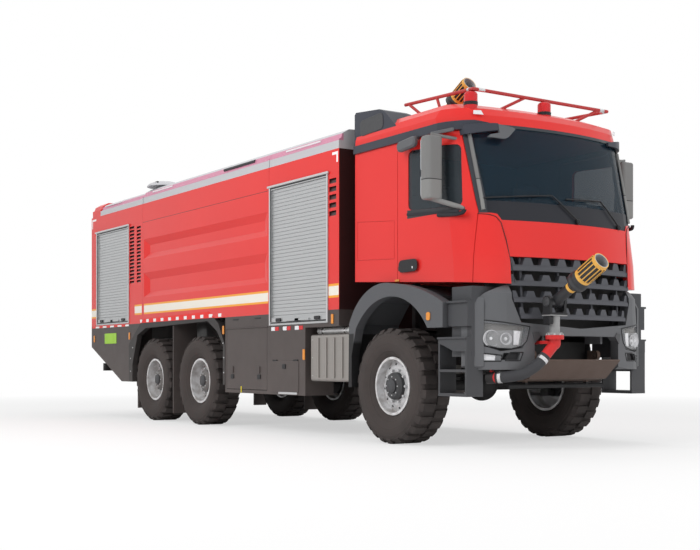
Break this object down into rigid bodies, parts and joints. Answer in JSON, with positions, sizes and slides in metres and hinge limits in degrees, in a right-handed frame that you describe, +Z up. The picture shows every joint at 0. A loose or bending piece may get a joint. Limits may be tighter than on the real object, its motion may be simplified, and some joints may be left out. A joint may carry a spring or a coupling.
{
  "type": "airport fire truck",
  "caption": "Three-axle airport fire truck with a hollow cab, tank body, roller-shutter lockers, bumper turret and roof turret.",
  "frame": {"origin": "centre of the outline's box on the ground", "axes": "+X towards the front of the truck, +Y to its left, +Z up"},
  "size_m": [10.4452, 2.8, 3.8893],
  "materials": {
    "red_paint": "gloss",
    "silver_paint": "satin",
    "dark_frame": "satin",
    "aluminium": "brushed",
    "grey_plastic": "satin",
    "black_plastic": "matte",
    "tyre": "matte",
    "rim": "gloss",
    "glass": "clear",
    "lamp": "clear",
    "beacon_red": "clear",
    "yellow_plastic": "satin",
    "seat_fabric": "matte",
    "rubber": "matte"
  },
  "bodies": {
    "truck": {"chassis_frame": "dark_frame", "axles": "dark_frame", "suspension": "dark_frame", "driveline": "dark_frame", "cab_shell": "red_paint", "cab_roof": "red_paint", "roof_trim": "black_plastic", "windscreen": "glass", "wiper_cowl": "black_plastic", "front_panel": "red_paint", "grille": "grey_plastic", "bumper": "grey_plastic", "head_lamps": "lamp", "front_fenders": "grey_plastic", "cab_steps": "grey_plastic", "seats": "seat_fabric", "cab_interior": "black_plastic", "locker_front": "red_paint", "tank_body": "red_paint", "locker_rear": "red_paint", "roof_deck": "silver_paint", "roller_shutters": "aluminium", "side_skirts": "grey_plastic", "arch_trim": "grey_plastic", "silencer_box": "aluminium", "fuel_tank": "aluminium", "roof_rack": "silver_paint", "beacons": "beacon_red", "rear_ladder": "aluminium", "tail_lamps": "beacon_red", "rear_bumper": "dark_frame", "front_guard": "black_plastic", "turret_stand": "red_paint", "feed_hose": "rubber"},
    "knuckle_body_right": {"knuckle_right": "dark_frame"},
    "door_body_right": {"cab_door_right": "red_paint", "door_glass_right": "glass", "mirror_right": "black_plastic"},
    "flap_body_right": {"skirt_door_right": "grey_plastic"},
    "wheel_front_right": {"tyre_front_right": "tyre", "rim_front_right": "rim"},
    "wheel_mid_right": {"tyre_mid_right": "tyre", "rim_mid_right": "rim"},
    "wheel_rear_right": {"tyre_rear_right": "tyre", "rim_rear_right": "rim"},
    "knuckle_body_left": {"knuckle_left": "dark_frame"},
    "door_body_left": {"cab_door_left": "red_paint", "door_glass_left": "glass", "mirror_left": "black_plastic"},
    "flap_body_left": {"skirt_door_left": "grey_plastic"},
    "wheel_front_left": {"tyre_front_left": "tyre", "rim_front_left": "rim"},
    "wheel_mid_left": {"tyre_mid_left": "tyre", "rim_mid_left": "rim"},
    "wheel_rear_left": {"tyre_rear_left": "tyre", "rim_rear_left": "rim"},
    "front_turret_turn": {"front_turret_fork": "silver_paint"},
    "front_turret_lift": {"front_turret_nozzle": "yellow_plastic"},
    "roof_turret_turn": {"roof_turret_fork": "silver_paint"},
    "roof_turret_lift": {"roof_turret_nozzle": "yellow_plastic"}
  },
  "joints": [
    {"name": "steer_right", "type": "hinge", "parent": "truck", "child": "knuckle_body_right", "pos_m": [2.98939, -0.93, 0.587], "axis": [0, 0, 1], "range_deg": [-35, 35]},
    {"name": "cab_door_right", "type": "hinge", "parent": "truck", "child": "door_body_right", "pos_m": [4.12939, -1.09, 2.3], "axis": [0, 0, 1], "range_deg": [0, 70]},
    {"name": "skirt_flap_right", "type": "hinge", "parent": "truck", "child": "flap_body_right", "pos_m": [0.02939, -1.255, 1.252], "axis": [-1, 0, 0], "range_deg": [0, 95]},
    {"name": "wheel_front_right_spin", "type": "hinge", "parent": "knuckle_body_right", "child": "wheel_front_right", "pos_m": [2.98939, -1.05, 0.587], "axis": [0, 1, 0], "continuous": true},
    {"name": "wheel_mid_right_spin", "type": "hinge", "parent": "truck", "child": "wheel_mid_right", "pos_m": [-1.37261, -1.05, 0.587], "axis": [0, 1, 0], "continuous": true},
    {"name": "wheel_rear_right_spin", "type": "hinge", "parent": "truck", "child": "wheel_rear_right", "pos_m": [-2.82261, -1.05, 0.587], "axis": [0, 1, 0], "continuous": true},
    {"name": "steer_left", "type": "hinge", "parent": "truck", "child": "knuckle_body_left", "pos_m": [2.98939, 0.93, 0.587], "axis": [0, 0, 1], "range_deg": [-35, 35]},
    {"name": "cab_door_left", "type": "hinge", "parent": "truck", "child": "door_body_left", "pos_m": [4.12939, 1.09, 2.3], "axis": [0, 0, -1], "range_deg": [0, 70]},
    {"name": "skirt_flap_left", "type": "hinge", "parent": "truck", "child": "flap_body_left", "pos_m": [0.02939, 1.255, 1.252], "axis": [1, 0, 0], "range_deg": [0, 95]},
    {"name": "wheel_front_left_spin", "type": "hinge", "parent": "knuckle_body_left", "child": "wheel_front_left", "pos_m": [2.98939, 1.05, 0.587], "axis": [0, 1, 0], "continuous": true},
    {"name": "wheel_mid_left_spin", "type": "hinge", "parent": "truck", "child": "wheel_mid_left", "pos_m": [-1.37261, 1.05, 0.587], "axis": [0, 1, 0], "continuous": true},
    {"name": "wheel_rear_left_spin", "type": "hinge", "parent": "truck", "child": "wheel_rear_left", "pos_m": [-2.82261, 1.05, 0.587], "axis": [0, 1, 0], "continuous": true},
    {"name": "front_turret_swivel", "type": "hinge", "parent": "truck", "child": "front_turret_turn", "pos_m": [4.58939, -0.47, 1.279], "axis": [0, 0, 1], "range_deg": [-90, 90]},
    {"name": "front_turret_elevation", "type": "hinge", "parent": "front_turret_turn", "child": "front_turret_lift", "pos_m": [4.58939, -0.47, 1.389], "axis": [0, -1, 0], "range_deg": [-45, 40]},
    {"name": "roof_turret_swivel", "type": "hinge", "parent": "truck", "child": "roof_turret_turn", "pos_m": [2.38939, -0.1, 3.41], "axis": [0, 0, 1], "range_deg": [-135, 135]},
    {"name": "roof_turret_elevation", "type": "hinge", "parent": "roof_turret_turn", "child": "roof_turret_lift", "pos_m": [2.38939, -0.1, 3.52], "axis": [0, -1, 0], "range_deg": [-25, 38]}
  ],
  "couplings": [
    {"joint": "steer_left", "follows": "steer_right", "ratio": 1}
  ]
}
